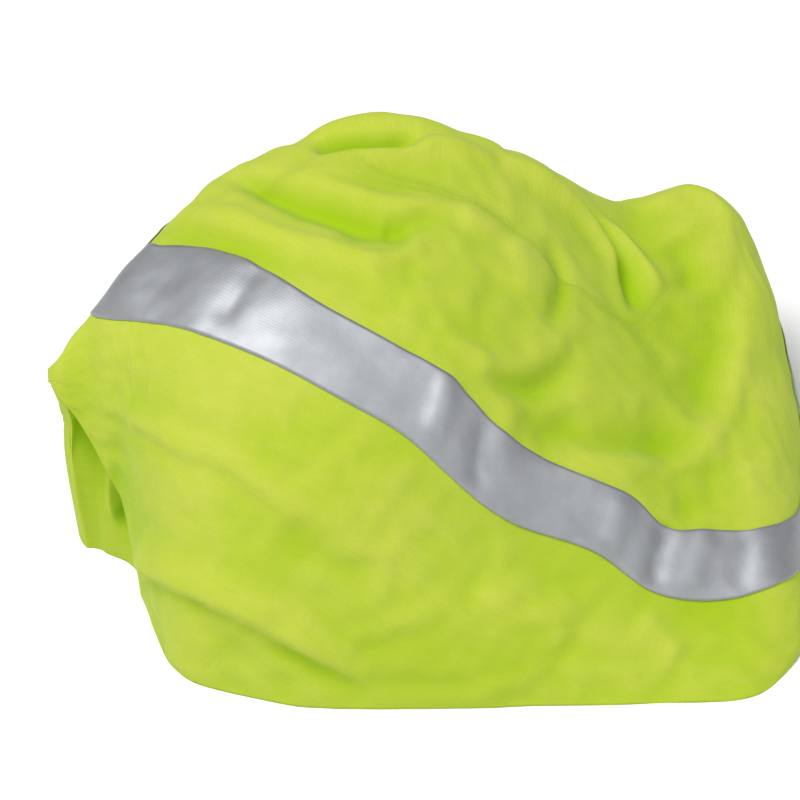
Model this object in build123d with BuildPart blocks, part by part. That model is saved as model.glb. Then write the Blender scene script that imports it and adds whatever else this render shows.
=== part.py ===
"""High-visibility tubular headwear, worn as a soft cap and set down on its rim.

A seamless knitted tube is twisted shut at its middle and one half is pulled down over the other, so
that both halves stand as one dome with the two cut ends together at the rim. A reflective band is
bonded round the outer half and a care label is sewn inside the back of the rim.
Units are millimetres, +Z is up, and the origin is the middle of the footprint, where the rim rests.
"""

import os
from math import hypot

from build123d import *

# Driving dimensions
CLOTH = 0.8  # one layer of knit, with its loft
LAYER_GAP = 0.6  # air between the outer and the inner half
TWIST = (6.0, 12.0, 11.0)  # where the halves join under the crown: x, y and radius
TAPE_WIDTH = 20.0  # the reflective band
FILM = 0.15  # its glass-bead face
GLUE = 0.1  # the hot-melt film that bonds the face to the knit
LABEL_WIDTH = 16.0
LABEL_BOTTOM = 5.0
LABEL_TOP = 30.0
LABEL_THICKNESS = 0.3
THREAD = 0.3  # sewing thread that holds the label
STITCHES = 6  # lockstitches along the label's top edge
STEEPEST = 1.3  # limit on how far a rib's outline moves, as a multiple of the inset
SKIRT = 15.0  # how far the dome runs on below the rim before it is trimmed
CENTRE = (10.625, 53.36)  # middle of the footprint in the ribs' own coordinates

INSIDE = 2 * CLOTH + LAYER_GAP  # depth of the cap's inside face under its outside face

# The dome's ribs: (x, outline in y and z from the front of the rim over the crown to the back).
RIBS = [
    (-98.0, [(40, 0), (39, 18), (39, 36), (40, 52), (43.5, 60), (46.5, 54), (48, 38), (49, 19), (49, 0)]),
    (-94.0, [(38, 0), (37.5, 20), (37.5, 41), (40, 57), (45.5, 66), (51, 63), (55, 48), (57, 23), (57, 0)]),
    (-89.0, [(36, 0), (35, 24), (36, 46), (41, 64), (49, 73), (57, 72), (64, 56), (66, 28), (67, 0)]),
    (-84.0, [(33, 0), (32, 26), (33, 51), (39, 70), (50, 79), (61, 77), (71, 59), (74, 30), (75, 0)]),
    (-79.0, [(28, 0), (28, 28), (30, 56), (38, 76), (52, 84), (66, 82), (77, 64), (80, 32), (81, 0)]),
    (-74.0, [(14, 0), (17, 31), (24, 61), (36, 80), (52, 87), (69, 86), (82, 70), (86, 34), (87, 0)]),
    (-68.0, [(-4, 0), (4, 34), (17, 66), (34, 84), (52, 89), (72, 90), (87, 78), (92, 38), (92, 0)]),
    (-54.0, [(-19, 0), (-10, 38), (8, 72), (28, 90), (54, 96), (79, 98), (98, 88), (104, 44), (104, 0)]),
    (-34.0, [(-26, 0), (-16, 38), (2, 72), (24, 93), (54, 101), (84, 103), (107, 95), (115, 48), (115, 0)]),
    (-9.0, [(-28, 0), (-18, 36), (1, 68), (26, 92), (58, 101), (90, 104), (114, 101), (121, 52), (121, 0)]),
    (15.0, [(-28, 0), (-18, 28), (0, 54), (18, 79), (52, 94), (86, 100), (113, 97), (123, 50), (124, 0)]),
    (40.0, [(-27, 0), (-16, 20), (1, 38), (16, 59), (48, 77), (84, 87), (114, 86), (125, 46), (126, 0)]),
    (65.0, [(-26, 0), (-14, 13), (0, 25), (15, 44), (46, 56), (84, 65), (121, 65), (129, 36), (130, 0)]),
    (87.0, [(-25, 0), (-13, 9), (0, 17), (16, 30), (48, 42), (86, 55), (125, 66), (134, 36), (134, 0)]),
    (104.0, [(-20, 0), (-10, 8), (2, 15), (18, 26), (48, 36), (84, 47), (117, 57), (126, 31), (126, 0)]),
    (114.0, [(-2, 0), (3, 7), (12, 13), (26, 20), (50, 27), (78, 33), (99, 34), (108, 18), (109, 0)]),
    (119.0, [(24, 0), (26, 4), (30, 8), (38, 12), (54, 15), (70, 17), (82, 16), (88, 9), (89, 0)]),
]

# Where the middle of the band runs: from the left side over the front, then round the back.
BAND_ROUTE = [
    (-80, 67, 78), (-53, 45, 92), (-29, 25, 92), (-6, 15, 83), (11, 11, 70), (29, 8, 55),
    (46, 6, 45), (63, 5, 35), (80, 6, 25), (100, 9, 20), (113, 26, 18), (118, 58, 16),
    (112, 98, 23), (88, 130, 31), (45, 125, 37), (0, 121, 47), (-38, 112, 58), (-66, 92, 71),
]
BAND_JOIN = 9  # the route's point where the front stretch of the band ends and the back one starts
BAND_REACH = 12.0  # thickness of the ribbon that cuts the band out of a layer

# The pleat at the left side, where the outer rim lifts: its two feet, its peak and its depth.
PLEAT_FRONT_FOOT = (-78.0, 29.5)
PLEAT_BACK_FOOT = (-96.0, 41.0)
PLEAT_PEAK = 56.0
PLEAT_DEPTH = 9.0


def inset_outline(i, inset):
    """Rib i's outline moved inwards, so that the skin through it moves by inset, square to itself."""
    outline = RIBS[i][1]
    last_rib = len(RIBS) - 1
    left = RIBS[max(i - 1, 0)]
    right = RIBS[min(i + 1, last_rib)]
    moved = []
    for j, (y, z) in enumerate(outline):
        before = outline[max(j - 1, 0)]
        after = outline[min(j + 1, len(outline) - 1)]
        run = after[0] - before[0]
        rise = after[1] - before[1]
        length = hypot(run, rise)
        across = (right[1][j][0] - left[1][j][0]) * rise - (right[1][j][1] - left[1][j][1]) * run
        slope = across / length / (right[0] - left[0])
        reach = inset * min(hypot(1.0, slope), STEEPEST)
        moved.append((y + reach * rise / length, z - reach * run / length))
    return moved


def dome(inset):
    """The solid dome, inset all over, with a skirt below the rim."""
    last = len(RIBS) - 1
    with BuildPart() as body:
        for i, (x, _) in enumerate(RIBS):
            end_shift = {0: inset, last: -inset}.get(i, 0.0)
            points = [(y - CENTRE[1], z) for y, z in inset_outline(i, inset)]
            front = points[0]
            back = points[-1]
            with BuildSketch(Plane.YZ.offset(x + end_shift - CENTRE[0])):
                with BuildLine():
                    Spline(*points)
                    Polyline(back, (back[0], -SKIRT), (front[0], -SKIRT), front)
                make_face()
        loft()
    return body.part


def layer(outer_inset, inner_inset):
    """The hollow shell between two insets, trimmed level at the rim."""
    with BuildPart() as shell:
        add(dome(outer_inset))
        split(bisect_by=Plane.XY, keep=Keep.TOP)
        add(dome(inner_inset), mode=Mode.SUBTRACT)
    return shell.part


def pleat_cutter():
    """The wedge that lifts the outer half's rim at the left, so that the inner half shows."""
    foot = Vector(PLEAT_BACK_FOOT[0] - CENTRE[0], PLEAT_BACK_FOOT[1] - CENTRE[1], 0)
    front = Vector(PLEAT_FRONT_FOOT[0] - CENTRE[0], PLEAT_FRONT_FOOT[1] - CENTRE[1], 0)
    across = front - foot
    width = across.length
    with BuildPart() as wedge:
        with BuildSketch(Plane(origin=foot, x_dir=across, z_dir=across.cross(Vector(0, 0, 1)))):
            with BuildLine():
                Polyline((0, -1), (width, -1), (width * 0.5, PLEAT_PEAK * 0.6), (0, PLEAT_PEAK), (0, -1))
            make_face()
        extrude(amount=PLEAT_DEPTH, both=True)
    return wedge.part


def knitted_tube():
    """Both halves of the tube, joined by the twist under the crown."""
    with BuildPart() as tube:
        add(layer(0, CLOTH))
        add(pleat_cutter(), mode=Mode.SUBTRACT)
        add(layer(CLOTH + LAYER_GAP, INSIDE))
        with BuildPart(mode=Mode.PRIVATE) as twist:
            add(layer(CLOTH, CLOTH + LAYER_GAP))
            with Locations((TWIST[0], TWIST[1], 100)):
                Cylinder(TWIST[2], 60, mode=Mode.INTERSECT)
        add(twist.part)
    return tube.part


def skin_direction(body, point):
    """The direction square to the dome's skin, nearest to a point."""
    face = min(body.faces(), key=lambda f: f.distance_to(point))
    return face.normal_at(face.closest_points(point)[0])


def band_cutters(body):
    """Two band-wide ribbons that straddle the cloth and share their end sections."""
    points = [Vector(x - CENTRE[0], y - CENTRE[1], z) for x, y, z in BAND_ROUTE]
    sections = []
    for i, point in enumerate(points):
        along = points[(i + 1) % len(points)] - points[i - 1]
        outward = skin_direction(body, point)
        outward = outward - along * (outward.dot(along) / along.dot(along))
        with BuildSketch(Plane(origin=point, x_dir=outward, z_dir=along)) as section:
            Rectangle(BAND_REACH, TAPE_WIDTH)
        sections.append(section.sketch)
    sections.append(sections[0])
    with BuildPart() as front:
        loft(sections=sections[: BAND_JOIN + 1])
    with BuildPart() as back:
        loft(sections=sections[BAND_JOIN:])
    return front.part, back.part


def band_layer(cutters, outer_inset, inner_inset):
    """One film of the band: the part of a layer that lies inside the ribbons."""
    skin_layer = layer(outer_inset, inner_inset)
    with BuildPart() as film:
        for cutter in cutters:
            with BuildPart(mode=Mode.PRIVATE) as stretch:
                add(skin_layer)
                add(cutter, mode=Mode.INTERSECT)
            add(stretch.part)
    return film.part


def care_label():
    """A woven label that lies against the cap's inside face at the back of the rim."""
    with BuildPart() as label:
        add(layer(INSIDE, INSIDE + LABEL_THICKNESS))
        with Locations((0, 60, (LABEL_BOTTOM + LABEL_TOP) / 2)):
            Box(LABEL_WIDTH, 60, LABEL_TOP - LABEL_BOTTOM, mode=Mode.INTERSECT)
    return label.part


def label_thread(inside_face):
    """The running lockstitch that weaves through the label's top edge and the inner half."""
    height = LABEL_TOP - 2.0
    pitch = (LABEL_WIDTH - 2.0) / (2 * STITCHES)
    points = []
    for i in range(2 * STITCHES + 1):
        x = -LABEL_WIDTH / 2 + 1.0 + i * pitch
        wall = inside_face.find_intersection_points(Axis((x, 0, height), (0, 1, 0)))[-1][0]
        depth = -LABEL_THICKNESS - THREAD if i % 2 == 0 else CLOTH + THREAD
        points.append((x, wall.Y + depth * 0.9, height))
    with BuildPart() as thread:
        with BuildLine():
            path = Spline(*points)
        with BuildSketch(Plane(origin=path @ 0, z_dir=path % 0)):
            Circle(THREAD / 2)
        sweep()
    return thread.part


def save(part, name):
    """Labels a finished piece and writes its STEP file."""
    part.label = name
    export_step(part, f"parts/{name}.step")


os.makedirs("parts", exist_ok=True)

skin = dome(0)
cutters = band_cutters(skin)
thread = label_thread(dome(INSIDE))

save(knitted_tube() - thread, "knitted_tube")
save(band_layer(cutters, -GLUE, 0), "adhesive_film")
save(band_layer(cutters, -GLUE - FILM, -GLUE), "reflective_face")
save(care_label() - thread, "care_label")
save(thread, "label_thread")
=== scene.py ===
"""Looks of the high-visibility tube headwear: a knitted tube doubled into a slumped soft cap."""
import math
import bpy
import numpy as np
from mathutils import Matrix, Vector, noise
from mathutils.bvhtree import BVHTree
from mathutils.kdtree import KDTree


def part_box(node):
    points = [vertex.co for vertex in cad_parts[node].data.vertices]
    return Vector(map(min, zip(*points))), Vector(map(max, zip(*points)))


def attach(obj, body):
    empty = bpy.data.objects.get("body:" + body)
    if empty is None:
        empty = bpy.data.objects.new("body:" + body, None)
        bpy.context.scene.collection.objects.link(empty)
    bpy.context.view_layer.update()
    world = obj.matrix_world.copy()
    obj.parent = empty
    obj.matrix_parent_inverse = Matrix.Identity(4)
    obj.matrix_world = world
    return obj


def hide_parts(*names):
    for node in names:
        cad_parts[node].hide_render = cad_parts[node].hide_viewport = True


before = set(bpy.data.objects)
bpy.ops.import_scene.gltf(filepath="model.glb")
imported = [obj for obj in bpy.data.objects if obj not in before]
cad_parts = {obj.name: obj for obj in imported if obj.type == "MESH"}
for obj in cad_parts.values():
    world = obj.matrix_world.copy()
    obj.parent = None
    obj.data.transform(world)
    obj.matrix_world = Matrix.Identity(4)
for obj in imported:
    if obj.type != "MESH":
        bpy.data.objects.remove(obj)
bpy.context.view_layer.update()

# ---------------------------------------------------------------- the dome's ribs
# Shapes are in millimetres on the ribs' own axes. The tube's CAD box puts them in the frame.
# A rib is (x, outline in y and z from the front of the rim over the crown to the back).
RIBS = [
    (-98.0, [(40, 0), (39, 18), (39, 37), (40, 55), (44, 66), (48, 58), (49, 40), (50, 20), (50, 0)]),
    (-94.0, [(38, 0), (37.5, 20), (37.5, 42), (40, 60), (46, 70), (52, 67), (56, 51), (58, 25), (58, 0)]),
    (-89.0, [(36, 0), (35, 24), (36, 46), (41, 64), (49, 73), (57, 72), (64, 56), (66, 28), (67, 0)]),
    (-84.0, [(33, 0), (32, 26), (33, 51), (39, 70), (50, 79), (61, 77), (71, 59), (74, 30), (75, 0)]),
    (-79.0, [(28, 0), (28, 28), (30, 56), (38, 76), (52, 84), (66, 82), (77, 64), (80, 32), (81, 0)]),
    (-74.0, [(14, 0), (17, 31), (24, 61), (36, 80), (52, 87), (69, 86), (82, 70), (86, 34), (87, 0)]),
    (-68.0, [(-4, 0), (4, 34), (17, 66), (34, 84), (52, 89), (72, 90), (87, 78), (92, 38), (92, 0)]),
    (-54.0, [(-19, 0), (-10, 38), (8, 72), (28, 90), (54, 96), (79, 98), (98, 88), (104, 44), (104, 0)]),
    (-34.0, [(-26, 0), (-16, 38), (2, 72), (24, 93), (54, 101), (84, 103), (107, 95), (115, 48), (115, 0)]),
    (-9.0, [(-28, 0), (-18, 36), (1, 68), (26, 92), (58, 101), (90, 104), (114, 101), (121, 52), (121, 0)]),
    (15.0, [(-28, 0), (-18, 28), (0, 54), (18, 79), (52, 94), (86, 100), (113, 97), (123, 50), (124, 0)]),
    (40.0, [(-27, 0), (-16, 20), (1, 38), (16, 59), (48, 77), (84, 87), (114, 86), (125, 46), (126, 0)]),
    (65.0, [(-26, 0), (-14, 13), (0, 25), (15, 44), (46, 56), (84, 65), (121, 65), (129, 36), (130, 0)]),
    (87.0, [(-25, 0), (-13, 9), (0, 17), (16, 30), (48, 42), (86, 55), (125, 66), (134, 36), (134, 0)]),
    (104.0, [(-20, 0), (-10, 8), (2, 15), (18, 26), (48, 36), (84, 47), (117, 57), (126, 31), (126, 0)]),
    (114.0, [(-2, 0), (3, 7), (12, 13), (26, 20), (50, 27), (78, 33), (99, 34), (108, 18), (109, 0)]),
    (119.0, [(24, 0), (26, 4), (30, 8), (38, 12), (54, 15), (70, 17), (82, 16), (88, 9), (89, 0)]),
]

# The ribs that close the two ends. The outer half ends in an open fold at the left, the inner half is closed.
LEFT_END = -99.8
LEFT_FOLD = (LEFT_END, [(42, 0), (41.5, 18), (41.5, 37), (42, 55), (44.8, 63.5),
                        (47.2, 56), (47.5, 38), (47.5, 19), (47, 0)])
LEFT_CLOSED = (LEFT_END, [(44.5, z) for z in (0, 18, 37, 54, 62, 54, 37, 18, 0)])
RIGHT_FOLD = (120.8, [(51, 0), (51.5, 4), (52.5, 8), (54, 11), (57, 12),
                      (60, 11), (61.5, 8), (62.5, 4), (63, 0)])
RIGHT_CLOSED = (120.95, [(57, z) for z in (0, 4, 8, 11, 12, 11, 8, 4, 0)])

# How the outer half's rim lifts at the left: its height in front, as (x, z), and at the back the length of
# cloth that is drawn up, as (x, length).
LIFTED_RIM = [(-99.8, 61), (-98, 59), (-93, 51.5), (-85.8, 39), (-80, 28), (-77, 16), (-76, 9), (-75.4, 0)]
BACK_RIM = [(-99.8, 56), (-96, 30), (-90, 8), (-84, 0)]
FLOOR_GAP = 0.3  # the least height of the cloth's surface, before it gets its thickness

TWIST = (16.6, 65.4)  # where the tube is twisted shut under the crown: x and y

# The band's edges, left side over the front to the right, then round the back: (x, y, z)
BAND_LOW = [(-88, 56, 75), (-70, 39, 85), (-50, 25, 90), (-27, 14, 86), (-14, 10, 80), (0, 7, 72),
            (11, 4, 62), (22, 2, 51), (33, 1, 43), (45, 2, 37), (56, 1, 32), (71, -2, 21), (79, -2, 18),
            (99, 2, 16), (112, 16, 12), (119, 50, 5), (116, 85, 9), (105, 123, 16), (88, 134, 19),
            (45, 126, 25), (0, 122, 35), (-38, 113, 46), (-68, 93, 60), (-83, 73, 69)]
BAND_HIGH = [(-71, 72, 87), (-62, 64, 92), (-40, 48, 99), (-27, 36, 98), (-14, 29, 95), (0, 24, 89),
             (11, 21, 83), (19, 18, 76), (27, 15, 68), (37, 14, 60), (45, 14, 54), (56, 14, 48),
             (68, 13, 40), (75, 11, 34), (85, 14, 30), (99, 17, 27), (112, 30, 21), (117, 56, 19),
             (114, 82, 25), (106, 118, 38), (88, 131, 43), (45, 124, 49), (0, 121, 59), (-38, 112, 69),
             (-62, 91, 82), (-70, 80, 87)]

RIBS_MIDDLE_Y = 53.0
tube_low, tube_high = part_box("knitted_tube")
SHIFT = np.array([tube_low[0] - RIBS[0][0] / 1000.0,
                  (tube_low[1] + tube_high[1]) / 2 - RIBS_MIDDLE_Y / 1000.0, 0.0])


def metres(points):
    """Ribs' millimetres to the frame's metres."""
    return np.asarray(points, float) / 1000.0 + SHIFT


# ---------------------------------------------------------------- curves and grids

def spline(knots, values, query):
    """A natural cubic spline through values at knots, read at query."""
    knots = np.asarray(knots, float)
    values = np.asarray(values, float)
    query = np.asarray(query, float)
    n = len(knots)
    step = np.diff(knots)
    system = np.zeros((n, n))
    system[0, 0] = system[-1, -1] = 1.0
    right = np.zeros_like(values)
    for i in range(1, n - 1):
        system[i, i - 1] = step[i - 1]
        system[i, i] = 2 * (step[i - 1] + step[i])
        system[i, i + 1] = step[i]
        right[i] = 6 * ((values[i + 1] - values[i]) / step[i] - (values[i] - values[i - 1]) / step[i - 1])
    bend = np.linalg.solve(system, right.reshape(n, -1)).reshape(values.shape)
    k = np.clip(np.searchsorted(knots, query) - 1, 0, n - 2)
    shape = (len(query),) + (1,) * (values.ndim - 1)
    a = ((knots[k + 1] - query) / step[k]).reshape(shape)
    b = ((query - knots[k]) / step[k]).reshape(shape)
    h = (step[k] ** 2 / 6).reshape(shape)
    return a * values[k] + b * values[k + 1] + ((a ** 3 - a) * bend[k] + (b ** 3 - b) * bend[k + 1]) * h


def chord(points):
    """Cumulative distance along a polyline."""
    points = np.asarray(points, float)
    return np.concatenate([[0.0], np.cumsum(np.linalg.norm(np.diff(points, axis=0), axis=1))])


def resample(line, places):
    """The points at the given distances along a polyline."""
    run = chord(line)
    return np.stack([np.interp(places, run, line[:, c]) for c in range(3)], axis=1)


def curve(points, count):
    """A smooth open curve through points, sampled evenly."""
    points = np.asarray(points, float)
    knots = chord(points)
    dense = spline(knots, points, np.linspace(0, knots[-1], count * 4))
    return resample(dense, np.linspace(0, chord(dense)[-1], count))


def ring(points, count):
    """A smooth closed curve through points, sampled evenly."""
    points = np.asarray(points, float)
    n = len(points)
    looped = np.concatenate([points[-3:], points, points[:4]])
    knots = chord(looped)
    dense = spline(knots, looped, np.linspace(knots[3], knots[3 + n], count * 4))
    return resample(dense, np.linspace(0, chord(dense)[-1], count + 1)[:-1])


def vault(ribs, columns, rows, lifted=False):
    """A grid of points over the ribs: one column per place in columns (x), rows from front to back."""
    pts = np.array([[(x, y, z) for y, z in outline] for x, outline in ribs], float)
    knots = np.linalg.norm(np.diff(pts, axis=1), axis=2).mean(0)
    knots = np.concatenate([[0.0], np.cumsum(knots)])
    knots /= knots[-1]
    fine = np.linspace(0, 1, 400)
    rails = spline(knots, pts.transpose(1, 0, 2), fine).transpose(1, 0, 2)
    across = chord(pts[:, 3])
    place = np.interp(columns, pts[:, 0, 0], across)
    slices = spline(across, rails, place)
    grid = np.zeros((len(columns), rows, 3))
    for i, line in enumerate(slices):
        run = chord(line)
        start = 0.0
        finish = 0.0
        if lifted:
            height = np.interp(line[0, 0], *zip(*LIFTED_RIM))
            front = line[: 1 + line[:, 2].argmax()]
            if height > 0:
                start = np.interp(height, np.maximum.accumulate(front[:, 2]), run[: len(front)])
            finish = np.interp(line[0, 0], *zip(*BACK_RIM))
        grid[i] = resample(line, np.linspace(start, run[-1] - finish, rows))
    return grid


def add_object(name, data):
    """A new object in the scene."""
    obj = bpy.data.objects.new(name, data)
    bpy.context.scene.collection.objects.link(obj)
    return obj


def grid_mesh(name, grid, closed_columns=False):
    """A mesh from a grid of points in the ribs' millimetres."""
    nx, nt = grid.shape[:2]
    verts = metres(grid.reshape(-1, 3))
    faces = []
    wrap = nx if closed_columns else nx - 1
    for i in range(wrap):
        a = i * nt
        b = ((i + 1) % nx) * nt
        for j in range(nt - 1):
            faces.append((a + j, b + j, b + j + 1, a + j + 1))
    mesh = bpy.data.meshes.new(name)
    mesh.from_pydata(verts.tolist(), [], faces)
    mesh.update()
    mesh.polygons.foreach_set("use_smooth", [True] * len(mesh.polygons))
    return add_object(name, mesh)


def corner_vertices(mesh):
    """The vertex at each face corner of a mesh."""
    corners = np.zeros(len(mesh.loops), dtype=np.int64)
    mesh.loops.foreach_get("vertex_index", corners)
    return corners


def set_uv(mesh, across, up):
    """Gives a mesh its knit directions as a UV map, in metres of cloth at each face corner."""
    layer = mesh.uv_layers.new(name="knit")
    layer.data.foreach_set("uv", np.stack([across.reshape(-1), up.reshape(-1)], axis=1).reshape(-1))


def grid_normals(grid):
    """Unit normals of a grid, pointing out of the dome."""
    normal = np.cross(np.gradient(grid, axis=0), np.gradient(grid, axis=1))
    normal /= np.linalg.norm(normal, axis=-1, keepdims=True) + 1e-9
    return normal


def neighbours(field):
    """The average of each inner place's four neighbours."""
    return (field[:-2, 1:-1] + field[2:, 1:-1] + field[1:-1, :-2] + field[1:-1, 2:]) / 4


def average(field, rounds):
    """Replaces a field by its neighbours' average, in place, edges kept."""
    for _ in range(rounds):
        field[1:-1, 1:-1] = neighbours(field)


def smooth(grid, rounds):
    """Relaxes a grid halfway to its neighbours' average, in place, edges kept."""
    for _ in range(rounds):
        grid[1:-1, 1:-1] += 0.5 * (neighbours(grid) - grid[1:-1, 1:-1])
    return grid


# ---------------------------------------------------------------- folds
# A fold is a line on the dome: (points, height in mm, width on its left, width on its right). Left and right
# are those of someone who walks along the line on the cloth; a negative height is a valley.
FOLDS = [
    # the mouth of the tucked pocket behind the crown, and the lip in front of it
    ([(-26, 97, 104), (-14, 98, 105), (-3, 98, 104), (7, 101, 103)], -9.0, 3.5, 3.2),
    ([(-33, 84, 103), (-22, 88, 104), (-11, 91, 104), (2, 96, 104), (14, 100, 101), (28, 101, 96)],
     3.6, 3.0, 5.0),
    ([(-30, 106, 100), (-14, 109, 102), (4, 109, 103), (18, 109, 99)], 2.0, 4.0, 4.0),
    # the hollow across the crown, the roll below it and the one above it
    ([(-50, 93, 96), (-39, 80, 102), (-29, 72, 103), (-17, 66, 102), (-6, 62, 101), (3, 64, 100)],
     -5.0, 4.5, 4.5),
    ([(-5, 63, 100), (4, 62, 100)], -3.0, 4.0, 4.0),
    ([(1, 64, 100), (9, 70, 99), (20, 72, 97)], -2.0, 3.0, 3.5),
    ([(-34, 85, 103), (-22, 80, 104), (-8, 74, 102), (6, 72, 100), (20, 73, 97), (30, 77, 92)],
     2.3, 3.5, 3.5),
    ([(-60, 80, 95), (-46, 67, 100), (-33, 58, 101), (-22, 53, 101), (-8, 50, 100), (2, 53, 99)],
     2.8, 4.0, 6.0),
    ([(-14, 48, 100), (-3, 50, 99), (7, 59, 98)], 1.6, 2.0, 3.0),
    ([(-66, 76, 91), (-52, 60, 98), (-39, 52, 100), (-28, 47, 100)], -1.5, 4.0, 4.0),
    # the shoulder that falls into the valley at the right, with its bright pleat
    ([(29, 104, 95), (44, 102, 86), (54, 100, 76), (61, 94, 69), (66, 82, 64)], 3.6, 3.0, 5.0),
    ([(48, 106, 84), (58, 102, 74), (65, 92, 67), (68, 82, 63), (69, 74, 61)], -5.0, 3.0, 2.5),
    ([(58, 106, 72), (65, 101, 67), (72, 93, 63), (78, 84, 59)], 3.4, 2.5, 3.5),
    ([(80, 106, 62), (84, 98, 60), (86, 88, 57)], -2.4, 5.0, 5.0),
    ([(41, 80, 86), (47, 72, 79), (46, 60, 76), (42, 48, 76)], -2.0, 3.0, 4.5),
    ([(30, 74, 90), (36, 62, 86), (34, 52, 84)], 1.4, 6.0, 6.0),
    ([(14, 29, 87), (21, 30, 83), (28, 30, 78)], 1.1, 1.4, 2.4),
    # the big hollow between the dome and the low end, and the flat ridge that runs round it
    ([(22, 24, 79), (34, 28, 71), (44, 36, 68), (52, 48, 67)], -2.6, 4.0, 5.0),
    ([(30, 20, 70), (45, 23, 60), (62, 27, 52), (78, 35, 44), (86, 44, 41)], -4.0, 11.0, 7.0),
    ([(86, 44, 41), (91, 58, 43), (93, 73, 48), (94, 88, 53), (90, 102, 61)], -2.6, 12.0, 8.0),
    ([(103, 96, 52), (99, 74, 46), (95, 56, 42), (88, 40, 39), (70, 26, 46), (47, 17, 56)], 2.2, 5.0, 6.0),
    # the low end's crest
    ([(70, 117, 65), (79, 122, 65), (87, 126, 66), (95, 121, 65), (103, 114, 59)], 1.5, 3.0, 4.0),
    # the long crease across the front, and the faint one above it
    ([(-77, 22, 10), (-63, -5, 28), (-49, -14, 29), (-38, -19, 25), (-28, -22, 19), (-8, -26, 8)],
     3.6, 9.0, 2.0),
    ([(-40, -21, 22), (-28, -24, 16), (-17, -26, 10), (-8, -27, 5)], -1.8, 3.0, 4.0),
    ([(-86, 36, 57), (-70, 19, 64), (-55, 5, 66), (-44, -1, 65), (-36, -5, 60), (-22, -9, 55)],
     1.3, 5.0, 2.5),
    ([(-35, -10, 52), (-18, -15, 43), (-4, -17, 38)], -1.6, 7.0, 7.0),
    ([(20, -14, 30), (38, -13, 24), (52, -14, 17)], 1.6, 8.0, 6.0),
    ([(66, -8, 16), (74, -12, 13), (80, -16, 8)], 1.3, 4.0, 5.0),
    # soft folds down the back
    ([(-58, 97, 78), (-54, 101, 50), (-50, 103, 18)], -1.8, 8.0, 6.0),
    ([(-30, 113, 84), (-20, 117, 58), (-16, 118, 26)], 1.6, 6.0, 9.0),
    ([(4, 120, 84), (12, 123, 60), (8, 124, 34)], -2.0, 7.0, 7.0),
    ([(38, 120, 74), (30, 124, 48), (34, 126, 16)], 1.7, 8.0, 6.0),
    ([(66, 127, 52), (60, 129, 34), (66, 130, 10)], -1.6, 6.0, 8.0),
    ([(92, 128, 48), (97, 128, 28), (94, 131, 8)], 1.4, 7.0, 5.0),
    # where the band bends over the cloth
    ([(-38, 49, 100), (-44, 39, 97), (-51, 29, 91)], -1.2, 4.0, 3.5),
    ([(14, 23, 83), (11, 13, 75), (9, 6, 67)], 1.3, 3.5, 3.5),
    ([(25, 17, 72), (23, 9, 64), (22, 3, 54)], -1.8, 3.5, 5.0),
    ([(64, 14, 44), (60, 8, 38), (57, 2, 30)], 1.5, 4.0, 4.0),
    ([(77, 13, 34), (73, 6, 28), (71, -1, 21)], -2.0, 3.5, 3.5),
    ([(88, 15, 30), (84, 8, 25), (82, 0, 18)], 1.0, 4.0, 4.0),
    ([(100, 18, 27), (97, 9, 22), (95, 2, 16)], -1.0, 5.0, 5.0),
]

# The inner half where it shows under the lifted rim: a hollow along the rim, a crumpled fold and its pocket.
INNER_FOLDS = [
    ([(-98, 41, 60), (-93, 38, 52), (-88, 36, 43), (-83, 33, 34), (-79, 29, 24), (-76, 25, 13), (-75, 23, 2)],
     -9.0, 6.0, 10.0),
    ([(-86, 36, 39), (-87, 35, 33), (-86.5, 34, 25), (-86, 33, 17), (-83, 31, 11), (-78, 29, 7)],
     5.5, 1.2, 1.0),
    ([(-84.5, 35, 37), (-85, 34, 30), (-83, 33, 22)], 4.5, 0.9, 0.9),
    ([(-84, 32, 17), (-80, 30, 12)], -9.0, 2.4, 2.4),
]


def fold(grid, folds):
    """Pushes a grid in or out along its normals at each fold."""
    normal = grid_normals(grid)
    total = np.zeros(grid.shape[:2])
    for points, height, left, right in folds:
        line = curve(points, 14) if len(points) > 2 else np.linspace(points[0], points[1], 4)
        reach = 3 * max(left, right) + 4
        near = np.all((grid > line.min(0) - reach) & (grid < line.max(0) + reach), axis=-1)
        spots = grid[near]
        square = normal[near]
        best = np.full(len(spots), 1e9)
        lift = np.zeros(len(spots))
        last = len(line) - 1
        for k in range(last):
            along = line[k + 1] - line[k]
            t = np.clip((spots - line[k]) @ along / (along @ along), 0, 1)
            offset = spots - line[k] - t[:, None] * along
            away = offset - (offset * square).sum(1)[:, None] * square
            d = np.linalg.norm(away, axis=1) + 0.3 * np.abs(offset - away).max(1)
            side = (np.cross(square, along) * away).sum(1)
            width = np.where(side > 0, left, right)
            place = (k + t) / last
            taper = np.clip(np.minimum(place, 1 - place) / 0.3 + 0.12, 0, 1)
            taper = taper * taper * (3 - 2 * taper)
            value = height * taper * np.exp(-(d / width) ** 2)
            nearer = d < best
            best = np.where(nearer, d, best)
            lift = np.where(nearer, value, lift)
        total[near] += lift
    average(total, 3)
    return grid + normal * total[..., None]


def ruffle(grid, height, size, seed, stretch=(1.0, 1.0, 1.0)):
    """Small soft unevenness along the normals."""
    normal = grid_normals(grid)
    flat = grid.reshape(-1, 3) * (np.array(stretch) / size) + seed
    lift = np.array([noise.noise(p) for p in flat.tolist()])
    return grid + normal * (height * lift).reshape(grid.shape[:2])[..., None]


SLANT = 5.5  # how far the left end's foot stands in from its tip


def slant(grid):
    """Leans the left end's edge, so that its foot stands further in than its tip."""
    leaned = grid.copy()
    end = np.clip((-86.0 - grid[..., 0]) / 12.0, 0.0, 1.0)
    leaned[..., 0] += SLANT * end * np.clip(1.0 - grid[..., 2] / 60.0, 0.0, 1.0)
    return leaned


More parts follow.
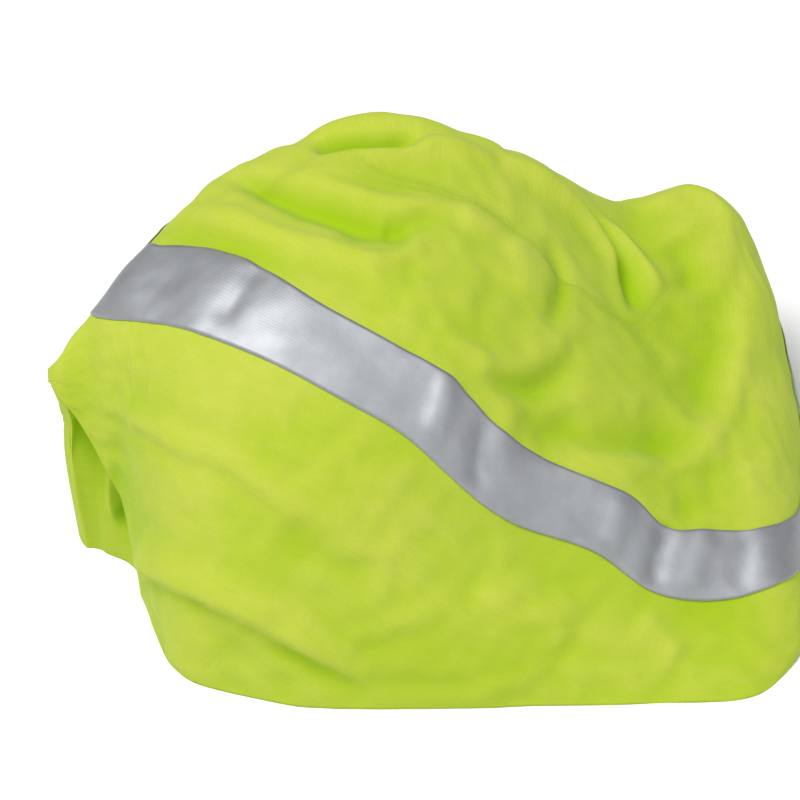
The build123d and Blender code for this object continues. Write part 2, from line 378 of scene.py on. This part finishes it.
def mark_relief(piece, grid):
    """Stores how far each place stands out of its surroundings, from 0 in a hollow to 1 on a ridge: the mask
    for the knit's painted shade.
    """
    even = smooth(grid.copy(), 350)
    height = ((grid - even) * grid_normals(grid)).sum(-1)
    average(height, 4)
    share = np.clip(0.5 + height / 4.5, 0.0, 1.0).reshape(-1)
    mark = piece.data.attributes.new("relief", "FLOAT", "POINT")
    mark.data.foreach_set("value", share)


def gather(grid, centre, pleats, depth, reach):
    """Pleats that wind in towards the twist that shuts the tube, pressed towards the inside of the cap."""
    normal = grid_normals(grid)
    east = grid[..., 0] - centre[0]
    north = grid[..., 1] - centre[1]
    away = np.hypot(east, north)
    wave = 0.5 + 0.5 * np.cos(pleats * np.arctan2(north, east) + away * 0.09)
    high = np.clip((grid[..., 2] - 50.0) / 25.0, 0.0, 1.0)
    press = depth * wave * high * np.exp(-(away / reach) ** 2) * np.clip(away / 6.0, 0.0, 1.0)
    knot = 5.0 * high * np.exp(-(away / 9.0) ** 2)
    return grid - normal * (press + knot)[..., None]


# ---------------------------------------------------------------- the band's path, and how the cloth settles
BAND_STEPS = 900
low_edge = ring(BAND_LOW, BAND_STEPS)
high_edge = ring(BAND_HIGH, BAND_STEPS)
middle = (low_edge + high_edge) / 2
ROUND = np.linalg.norm(middle - np.roll(middle, 1, axis=0), axis=1).sum()  # once round the tube
middle_tree = KDTree(len(middle))
for k, spot in enumerate(middle):
    middle_tree.insert(spot, k)
middle_tree.balance()

SETTLE_STEP = 4  # the simulated cloth has one vertex for this many of the grid's, each way
SETTLE_FRAMES = 14
SLACK = 0.02  # spare cloth, as a share of its length, that the simulation lays into soft wrinkles
HOLD = 0.35  # how firmly the cloth keeps to the laid shape
BAND_HOLD = 0.9  # the same under the band, which stiffens the cloth
BAND_HOLD_REACH = 14.0  # how far from the band's middle that reaches


def settle(grid):
    """A short cloth simulation that lets the laid folds relax and the spare cloth wrinkle."""
    nx, nt = grid.shape[:2]
    keep_x = np.unique(np.append(np.arange(0, nx, SETTLE_STEP), nx - 1))
    keep_t = np.unique(np.append(np.arange(0, nt, SETTLE_STEP), nt - 1))
    coarse = grid[np.ix_(keep_x, keep_t)]
    cloth = grid_mesh("settling", coarse)
    hold = cloth.vertex_groups.new(name="hold")
    rim = [i * len(keep_t) + j for i in range(len(keep_x)) for j in (0, len(keep_t) - 1)]
    for number, spot in enumerate(coarse.reshape(-1, 3).tolist()):
        stiff = math.exp(-(middle_tree.find(spot)[2] / BAND_HOLD_REACH) ** 4)
        hold.add([number], HOLD + (BAND_HOLD - HOLD) * stiff, "REPLACE")
    hold.add(rim, 1.0, "REPLACE")
    settings = cloth.modifiers.new("settle", "CLOTH").settings
    settings.quality = 6
    settings.mass = 0.1
    settings.tension_stiffness = 12.0
    settings.compression_stiffness = 12.0
    settings.shear_stiffness = 4.0
    settings.bending_stiffness = 0.2
    settings.shrink_min = -SLACK
    settings.vertex_group_mass = "hold"
    settings.pin_stiffness = 1.0
    cloth.modifiers["settle"].point_cache.frame_end = SETTLE_FRAMES
    scene = bpy.context.scene
    for number in range(1, SETTLE_FRAMES + 1):
        scene.frame_set(number)
    done = cloth.evaluated_get(bpy.context.evaluated_depsgraph_get()).data
    flat = np.zeros(len(done.vertices) * 3)
    done.vertices.foreach_get("co", flat)
    moved = (flat.reshape(coarse.shape) - SHIFT) * 1000.0 - coarse
    scene.frame_set(1)
    bpy.data.objects.remove(cloth)
    along = np.stack([[np.interp(np.arange(nx), keep_x, moved[:, j, c]) for c in range(3)]
                      for j in range(len(keep_t))])
    full = np.zeros_like(grid)
    for c in range(3):
        for i in range(nx):
            full[i, :, c] = np.interp(np.arange(nt), keep_t, along[:, c, i])
    average(full, 6)
    return grid + full


# ---------------------------------------------------------------- the two halves of the tube
def columns_between(x0, x1):
    """Places for the grid's columns: close together round the lifted rim."""
    left = np.arange(x0, -70.0, 0.3)
    rest = np.arange(-70.0, x1 - 4.0, 0.75)
    end = np.linspace(x1 - 4.0, x1, 20)
    return np.concatenate([left, rest, end])


OUTER_LEFT = -99.7  # the outer half stops just short of its end rib, so it stays open there
outer_columns = columns_between(OUTER_LEFT, RIGHT_CLOSED[0])
outer_grid = vault([LEFT_FOLD] + RIBS + [RIGHT_FOLD, RIGHT_CLOSED], outer_columns, 300, lifted=True)
outer_grid = smooth(outer_grid, 4)
outer_grid = fold(outer_grid, FOLDS)
outer_grid = ruffle(outer_grid, 0.9, 26.0, 3.1)
outer_grid = ruffle(outer_grid, 0.35, 9.0, 7.7, (0.8, 1.2, 1.2))
outer_grid = settle(slant(outer_grid))
outer_grid[..., 2] = np.maximum(outer_grid[..., 2], FLOOR_GAP)
outer = grid_mesh("outer_half", outer_grid)
mark_relief(outer, outer_grid)


def surface_tree(piece):
    """A search tree over a piece's faces."""
    mesh = piece.data
    return BVHTree.FromPolygons([v.co for v in mesh.vertices], [p.vertices for p in mesh.polygons])


outer_tree = surface_tree(outer)


COVERED_FROM_X = -73.0  # the outer half covers the inner one to the right of this
COVERED_FROM_Y = 52.0  # and behind this
TUCK_REACH = 0.009  # places further than this from the outer half, in metres, are left alone


def tuck_under(grid, gap):
    """Moves a grid's places gap millimetres inside the outer half where they are nearer, or through it.

    What shows under the lifted rim is left alone.
    """
    tucked = grid.copy()
    covered = (grid[..., 0] > COVERED_FROM_X) | (grid[..., 1] > COVERED_FROM_Y)
    for i, j in np.argwhere(covered):
        spot = Vector(metres(grid[i, j]))
        place, normal, _, away = outer_tree.find_nearest(spot)
        if away < TUCK_REACH and (spot - place).dot(normal) > -gap / 1000.0:
            tucked[i, j] = (np.array(place - normal * (gap / 1000.0)) - SHIFT) * 1000.0
    return tucked


INNER_INSET = 2.4  # how far the inner half lies under the outer one, less at the left tip
INNER_GAP = 1.8  # what it is moved back to where the settled outer half came closer; smoothing then evens it
inner_columns = columns_between(LEFT_END, RIGHT_CLOSED[0])
inner_grid = vault([LEFT_CLOSED] + RIBS + [RIGHT_FOLD, RIGHT_CLOSED], inner_columns, 260)
inset = INNER_INSET * np.clip((inner_grid[..., :1] + 99.0) / 9.0, 0.0, 1.0)
inner_grid = inner_grid - grid_normals(inner_grid) * inset
inner_grid = fold(inner_grid, INNER_FOLDS)
inner_grid = gather(inner_grid, TWIST, 13, 4.0, 42.0)
inner_grid = slant(inner_grid)
for _ in range(2):
    inner_grid = smooth(tuck_under(inner_grid, INNER_GAP), 3)
inner_grid[..., 2] = np.maximum(inner_grid[..., 2], FLOOR_GAP)
inner = grid_mesh("inner_half", inner_grid)
mark_relief(inner, inner_grid)

CAP_MIDDLE = Vector(metres((5, 60, 30)))  # a point inside the cap, which tells out from in


def on_cloth(point, lift):
    """The nearest place on the outer half, lifted off it."""
    place, normal, _, _ = outer_tree.find_nearest(Vector(point))
    if normal.dot(place - CAP_MIDDLE) < 0:
        normal = -normal
    return place + normal * lift


# ---------------------------------------------------------------- the knit's own directions
# u runs round the tube along the band, v runs from the rim to the crown.
upward = high_edge - low_edge
upward /= np.linalg.norm(upward, axis=1, keepdims=True)


def lay_uv(piece, grid):
    """Gives a grid's mesh its knit directions as a UV map."""
    flat = grid.reshape(-1, 3)
    found = [middle_tree.find(spot)[1:] for spot in flat.tolist()]
    index = np.array([f[0] for f in found])
    away = np.array([f[1] for f in found])
    side = ((flat - middle[index]) * upward[index]).sum(1)
    u = index / len(middle) * ROUND
    v = np.where(side > 0, away, -away)
    shape = grid.shape[:2]
    u = u.reshape(shape)
    v = v.reshape(shape)
    turn = np.exp(2j * np.pi * u / ROUND)
    average(turn, 8)
    average(v, 8)
    u = np.angle(turn) / (2 * np.pi) * ROUND
    corners = corner_vertices(piece.data)
    cu = u.reshape(-1)[corners].reshape(-1, 4)
    cv = v.reshape(-1)[corners].reshape(-1, 4)
    wide = (cu.max(1) - cu.min(1)) > ROUND / 2
    cu[wide] = np.where(cu[wide] < 0, cu[wide] + ROUND, cu[wide])
    set_uv(piece.data, cu / 1000.0, cv / 1000.0)


lay_uv(outer, outer_grid)
lay_uv(inner, inner_grid)

# ---------------------------------------------------------------- the reflective band
BAND_ROWS = 22
BAND_WIDTH = 0.020
BAND_LIFTS = (0.0003, 0.0005)  # it is laid on the cloth twice, the second time a little higher
band_grid = np.zeros((BAND_STEPS, BAND_ROWS, 3))
for j in range(BAND_ROWS):
    t = j / (BAND_ROWS - 1)
    band_grid[:, j] = low_edge * (1 - t) + high_edge * t
flat_points = metres(band_grid.reshape(-1, 3))
for lift in BAND_LIFTS:
    lifted_points = np.array([on_cloth(p, lift) for p in flat_points])
    band_grid = lifted_points.reshape(BAND_STEPS, BAND_ROWS, 3)
    for _ in range(2):
        band_grid = (np.roll(band_grid, 1, 0) + np.roll(band_grid, -1, 0) + 2 * band_grid) / 4
    flat_points = band_grid.reshape(-1, 3)
band_grid = (band_grid - SHIFT) * 1000.0
band = grid_mesh("reflective_band", band_grid, closed_columns=True)
band_corners = corner_vertices(band.data)
columns = (band_corners // BAND_ROWS).reshape(-1, 4)
seam = columns.max(1) - columns.min(1) > 2
columns[seam] = np.where(columns[seam] == 0, BAND_STEPS, columns[seam])
band_up = (band_corners % BAND_ROWS) * BAND_WIDTH / (BAND_ROWS - 1)
set_uv(band.data, columns * ROUND / BAND_STEPS / 1000.0, band_up)

# ---------------------------------------------------------------- the care label and its stitches
CLOTH = 0.0006  # the knit's thickness, pressed flat
LABEL = 0.0003  # the label's thickness
THREAD = 0.0003  # the sewing thread's diameter
LABEL_COLUMNS = 33
LABEL_ROWS = 49
LABEL_WAVE = 0.0006  # how far the label's free lower edge bows
LABEL_LIFT = 0.0012  # how far it hangs off the cloth
STITCHES = 6
STITCH_STEPS = 24  # points along one stitch
inner_tree = surface_tree(inner)
label_low, label_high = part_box("care_label")


def back_wall(x, z):
    """Where the inner half's back wall is, looking out from the middle of the cap."""
    place = inner_tree.ray_cast(Vector((x, 0.0, z)), Vector((0, 1, 0)))[0]
    return place.y


label_grid = np.zeros((LABEL_COLUMNS, LABEL_ROWS, 3))
for i, x in enumerate(np.linspace(label_low[0], label_high[0], LABEL_COLUMNS)):
    for j, z in enumerate(np.linspace(label_low[2], label_high[2], LABEL_ROWS)):
        free = 1 - j / (LABEL_ROWS - 1)
        lift = LABEL_WAVE * math.sin(math.pi * i / (LABEL_COLUMNS - 1)) * free + LABEL_LIFT * free ** 2
        label_grid[i, j] = (x, back_wall(x, z) - CLOTH - 0.0001 - lift, z)
label = grid_mesh("care_label_tape", (label_grid - SHIFT) * 1000.0)
label_spots = label_grid.reshape(-1, 3)[corner_vertices(label.data)]
set_uv(label.data, label_spots[:, 0], label_spots[:, 2])

thread_low, thread_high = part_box("label_thread")
seam_height = (thread_low[2] + thread_high[2]) / 2
thread_path = []
for k in range(STITCHES * STITCH_STEPS + 1):
    x = thread_low[0] + (thread_high[0] - thread_low[0]) * k / (STITCHES * STITCH_STEPS)
    wave = math.cos(2 * math.pi * k / STITCH_STEPS)
    weave = math.copysign(min(1.0, abs(wave) * 2.2), wave)
    middle_y = back_wall(x, seam_height) - (CLOTH + LABEL) / 2
    thread_path.append((x, middle_y - weave * (CLOTH + LABEL + THREAD) / 2, seam_height))


def tube(name, path, radius, sides=10):
    """A round thread along a path in metres."""
    path = np.asarray(path)
    along = np.gradient(path, axis=0)
    along /= np.linalg.norm(along, axis=1, keepdims=True)
    side = np.cross(along, (0, 0, 1))
    side /= np.linalg.norm(side, axis=1, keepdims=True)
    rise = np.cross(side, along)
    turn = np.linspace(0, 2 * math.pi, sides, endpoint=False)
    spokes = np.cos(turn)[:, None] * side[:, None] + np.sin(turn)[:, None] * rise[:, None]
    rings = path[:, None] + radius * spokes
    verts = rings.reshape(-1, 3).tolist()
    faces = []
    for i in range(len(path) - 1):
        for j in range(sides):
            k = (j + 1) % sides
            faces.append((i * sides + j, i * sides + k, (i + 1) * sides + k, (i + 1) * sides + j))
    faces.append(tuple(reversed(range(sides))))
    faces.append(tuple(range((len(path) - 1) * sides, len(path) * sides)))
    mesh = bpy.data.meshes.new(name)
    mesh.from_pydata(verts, [], faces)
    mesh.polygons.foreach_set("use_smooth", [True] * len(mesh.polygons))
    corners = corner_vertices(mesh)
    set_uv(mesh, (corners // sides) * 0.0001, (corners % sides) * 0.00009)
    return add_object(name, mesh)


stitches = tube("label_stitches", thread_path, THREAD / 2)


# ---------------------------------------------------------------- materials
class Nodes:
    """A short way to build one material's nodes."""

    def __init__(self, name):
        self.material = bpy.data.materials.new(name)
        self.material.use_nodes = True
        self.tree = self.material.node_tree
        self.shader = self.tree.nodes["Principled BSDF"]

    def add(self, kind, **values):
        """A node, with its settings and its inputs' values; an input given a socket is linked to it."""
        node = self.tree.nodes.new("ShaderNode" + kind)
        for key, value in values.items():
            if key in node.bl_rna.properties:
                setattr(node, key, value)
                continue
            spot = node.inputs[int(key[2:]) if key.startswith("in") and key[2:].isdigit() else key]
            if isinstance(value, bpy.types.NodeSocket):
                self.tree.links.new(value, spot)
            else:
                spot.default_value = value
        return node

    def math(self, operation, a, b=0.0, c=0.0):
        """The result of one operation on numbers or sockets."""
        return self.add("Math", operation=operation, in0=a, in1=b, in2=c).outputs[0]

    def mix(self, factor, a, b):
        """A colour between a and b."""
        node = self.add("Mix", data_type="RGBA", blend_type="MIX")
        for value, spot in ((factor, node.inputs[0]), (a, node.inputs[6]), (b, node.inputs[7])):
            if isinstance(value, bpy.types.NodeSocket):
                self.tree.links.new(value, spot)
            else:
                spot.default_value = value
        return node.outputs[2]

    def link(self, a, b):
        """Joins two sockets."""
        self.tree.links.new(a, b)


COURSE = 0.00077  # one row of loops
WALE = 0.00086  # one column of loops


def knit_material(name, colour, deep, painted_shade, painted_glow, painted_glow_dim):
    """Fluorescent single jersey: rows of loops, a soft cloudy tone, painted shade and a painted glow.

    The cloth's own tone is between deep and colour, plus an emission that is a painted glow. Painted shade:
    in the hollows, and in broad random patches, the colour goes towards a shade colour and the glow dims.
    """
    m = Nodes(name)
    uv = m.add("UVMap", uv_map="knit").outputs[0]
    parts = m.add("SeparateXYZ", in0=uv)
    u = parts.outputs[0]
    v = parts.outputs[1]
    wobble = m.add("TexNoise", noise_dimensions="3D", Vector=uv, Scale=420.0, Detail=2.0).outputs["Fac"]
    drift = m.math("MULTIPLY_ADD", wobble, 3.2, -1.6)
    across = m.math("MULTIPLY_ADD", u, 2 * math.pi / WALE, drift)
    leg = m.math("ABSOLUTE", m.math("SINE", m.math("MULTIPLY", across, 0.5)))
    rows = m.math("SINE", m.math("ADD", m.math("MULTIPLY_ADD", v, 2 * math.pi / COURSE, drift),
                                 m.math("MULTIPLY", leg, 1.6)))
    wales = m.math("SINE", across)
    loops = m.math("MULTIPLY_ADD", rows, 0.34, m.math("MULTIPLY_ADD", wales, 0.16, 0.5))
    stretched = m.add("Mapping", vector_type="POINT", Vector=uv, Scale=(1.0, 2.2, 1.0)).outputs[0]
    cloud = m.add("TexNoise", Vector=stretched, Scale=150.0, Detail=3.0, Roughness=0.6).outputs["Fac"]
    grain = m.add("TexNoise", Vector=uv, Scale=900.0, Detail=2.0, Roughness=0.7).outputs["Fac"]
    broad = m.add("TexNoise", Vector=uv, Scale=22.0, Detail=2.0, Roughness=0.5).outputs["Fac"]
    tone = m.math("ADD", m.math("MULTIPLY_ADD", cloud, 0.9, -0.45), m.math("MULTIPLY_ADD", grain, 0.7, -0.35))
    tone = m.math("ADD", tone, m.math("MULTIPLY_ADD", broad, 0.9, -0.45))
    tone = m.math("ADD", tone, m.math("MULTIPLY_ADD", loops, 0.32, 0.34))
    factor = m.add("Clamp", Value=tone).outputs[0]
    # Painted shade: a mask from the hollows of the geometry and from broad random patches darkens the colour
    # and dims the glow.
    relief = m.add("Attribute", attribute_name="relief").outputs["Fac"]
    painted_lit = m.math("MULTIPLY_ADD", relief, 1.4, m.math("MULTIPLY_ADD", broad, 1.0, -0.62))
    painted_lit = m.add("Clamp", Value=painted_lit).outputs[0]
    base = m.mix(painted_lit, painted_shade, m.mix(factor, deep, colour))
    m.link(base, m.shader.inputs["Base Color"])
    # Painted glow: an emission on the cloth, which is no lamp, dimmer where shade is painted.
    m.link(m.mix(painted_lit, painted_glow_dim, painted_glow), m.shader.inputs["Emission Color"])
    m.shader.inputs["Roughness"].default_value = 0.9
    m.shader.inputs["Specular IOR Level"].default_value = 0.12
    m.shader.inputs["Sheen Weight"].default_value = 0.08
    m.shader.inputs["Sheen Roughness"].default_value = 0.6
    m.shader.inputs["Sheen Tint"].default_value = (0.95, 1.0, 0.8, 1.0)
    m.shader.inputs["Emission Strength"].default_value = 1.0
    height = m.math("ADD", m.math("MULTIPLY", loops, 0.000045), m.math("MULTIPLY", cloud, 0.00022))
    height = m.math("ADD", height, m.math("MULTIPLY", grain, 0.00007))
    bump = m.add("Bump", Strength=0.8, Distance=1.0, Height=height)
    m.link(bump.outputs[0], m.shader.inputs["Normal"])
    return m.material


def silver_material(name):
    """Glass-bead film: silver, a soft sheen, and the knit's rows pressed faintly through it."""
    m = Nodes(name)
    uv = m.add("UVMap", uv_map="knit").outputs[0]
    parts = m.add("SeparateXYZ", in0=uv)
    rows = m.math("SINE", m.math("MULTIPLY", parts.outputs[1], 2 * math.pi / COURSE))
    beads = m.add("TexNoise", Vector=uv, Scale=2600.0, Detail=1.0).outputs["Fac"]
    cloud = m.add("TexNoise", Vector=uv, Scale=170.0, Detail=3.0, Roughness=0.6).outputs["Fac"]
    tone = m.math("MULTIPLY_ADD", cloud, 0.8, m.math("MULTIPLY_ADD", beads, 0.3, -0.05))
    factor = m.add("Clamp", Value=tone).outputs[0]
    base = m.mix(factor, (0.3, 0.315, 0.335, 1), (0.44, 0.45, 0.465, 1))
    m.link(base, m.shader.inputs["Base Color"])
    m.shader.inputs["Metallic"].default_value = 0.78
    m.shader.inputs["Roughness"].default_value = 0.6
    height = m.math("MULTIPLY_ADD", rows, 0.000006, m.math("MULTIPLY", cloud, 0.0001))
    height = m.math("MULTIPLY_ADD", beads, 0.00003, height)
    bump = m.add("Bump", Strength=0.7, Distance=1.0, Height=height)
    m.link(bump.outputs[0], m.shader.inputs["Normal"])
    return m.material


def woven_material(name, light, dark, end, pick):
    """Fine weave or twisted yarn: uneven light and dark crossings, end and pick metres apart."""
    m = Nodes(name)
    uv = m.add("UVMap", uv_map="knit").outputs[0]
    parts = m.add("SeparateXYZ", in0=uv)
    ends = m.math("SINE", m.math("MULTIPLY", parts.outputs[0], 2 * math.pi / end))
    picks = m.math("SINE", m.math("MULTIPLY", parts.outputs[1], 2 * math.pi / pick))
    cross = m.math("MULTIPLY", ends, picks)
    uneven = m.add("TexNoise", Vector=uv, Scale=700.0, Detail=3.0, Roughness=0.6).outputs["Fac"]
    tone = m.math("MULTIPLY_ADD", cross, 0.3, uneven)
    base = m.mix(m.add("Clamp", Value=tone).outputs[0], dark, light)
    m.link(base, m.shader.inputs["Base Color"])
    m.shader.inputs["Roughness"].default_value = 0.6
    m.shader.inputs["Sheen Weight"].default_value = 0.1
    height = m.math("MULTIPLY_ADD", cross, 0.00003, m.math("MULTIPLY", uneven, 0.00005))
    bump = m.add("Bump", Strength=0.8, Distance=1.0, Height=height)
    m.link(bump.outputs[0], m.shader.inputs["Normal"])
    return m.material


# The knit's own tone runs between the first two colours; the third is painted shade, the last two are a
# painted glow and its dimmer, shaded version.
knit = knit_material("knit", (0.38, 0.355, 0.07, 1), (0.3, 0.33, 0.02, 1), (0.24, 0.31, 0.006, 1),
                     (0.095, 0.195, 0.0, 1), (0.065, 0.17, 0.0, 1))
silver = silver_material("silver")
outer.data.materials.append(knit)
inner.data.materials.append(knit)
band.data.materials.append(silver)

# ---------------------------------------------------------------- thickness, and what each piece stands for
BAND = 0.00025  # the two films' thickness together


def thicken(piece, thickness, offset):
    """Gives a sheet its thickness; offset is -1 to grow inwards and 0 to grow both ways."""
    solidify = piece.modifiers.new("thickness", "SOLIDIFY")
    solidify.thickness = thickness
    solidify.offset = offset


for piece in (outer, inner):
    thicken(piece, CLOTH, -1)
    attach(piece, "root")
    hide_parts("knitted_tube")
thicken(band, BAND, -1)
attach(band, "root")
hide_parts("reflective_face", "adhesive_film")
satin = woven_material("satin_tape", (0.85, 0.85, 0.82, 1), (0.62, 0.62, 0.6, 1), 0.0003, 0.0004)
label.data.materials.append(satin)
thicken(label, LABEL, 0)
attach(label, "root")
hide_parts("care_label")
yarn = woven_material("sewing_thread", (0.8, 0.8, 0.76, 1), (0.5, 0.5, 0.48, 1), 0.0006, 0.0003)
stitches.data.materials.append(yarn)
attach(stitches, "root")
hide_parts("label_thread")

# ---------------------------------------------------------------- floor, light and camera
floor_mesh = bpy.data.meshes.new("floor")
floor_mesh.from_pydata([(-6, -6, 0), (6, -6, 0), (6, 6, 0), (-6, 6, 0)], [], [(0, 1, 2, 3)])
floor = add_object("floor", floor_mesh)
white = Nodes("floor_white")
white.shader.inputs["Base Color"].default_value = (0.93, 0.93, 0.93, 1)
white.shader.inputs["Roughness"].default_value = 0.9
white.shader.inputs["Specular IOR Level"].default_value = 0.0
floor.data.materials.append(white.material)

world = bpy.data.worlds.new("studio")
bpy.context.scene.world = world
world.use_nodes = True
world.node_tree.nodes["Background"].inputs["Color"].default_value = (1, 1, 1, 1)
world.node_tree.nodes["Background"].inputs["Strength"].default_value = 0.22


def softbox(name, place, target, size, power):
    """A square area light at a place, aimed at a target."""
    light = bpy.data.lights.new(name, "AREA")
    light.shape = "RECTANGLE"
    light.size = size
    light.size_y = size
    light.energy = power
    obj = add_object(name, light)
    obj.location = place
    obj.rotation_euler = (Vector(target) - Vector(place)).to_track_quat("-Z", "Y").to_euler()


LIT_SPOT = (0, 0, 0.03)
softbox("key", (-0.65, -0.45, 1.85), LIT_SPOT, 1.0, 46)
softbox("fill", (0.9, -1.2, 1.0), LIT_SPOT, 1.0, 7)

ELEVATION = math.radians(40.0)
DISTANCE = 1.150  # from the camera to the point it is aimed at
aim = Vector(metres((0.0, 45.0, 52.0)))
eye = aim + Vector((0, -math.cos(ELEVATION), math.sin(ELEVATION))) * DISTANCE
lens = bpy.data.cameras.new("camera")
lens.lens = 181.0
lens.sensor_width = 36.0
camera = add_object("camera", lens)
camera.location = eye
camera.rotation_euler = (aim - eye).to_track_quat("-Z", "Y").to_euler()
bpy.context.scene.camera = camera
bpy.context.scene.view_settings.view_transform = "Standard"
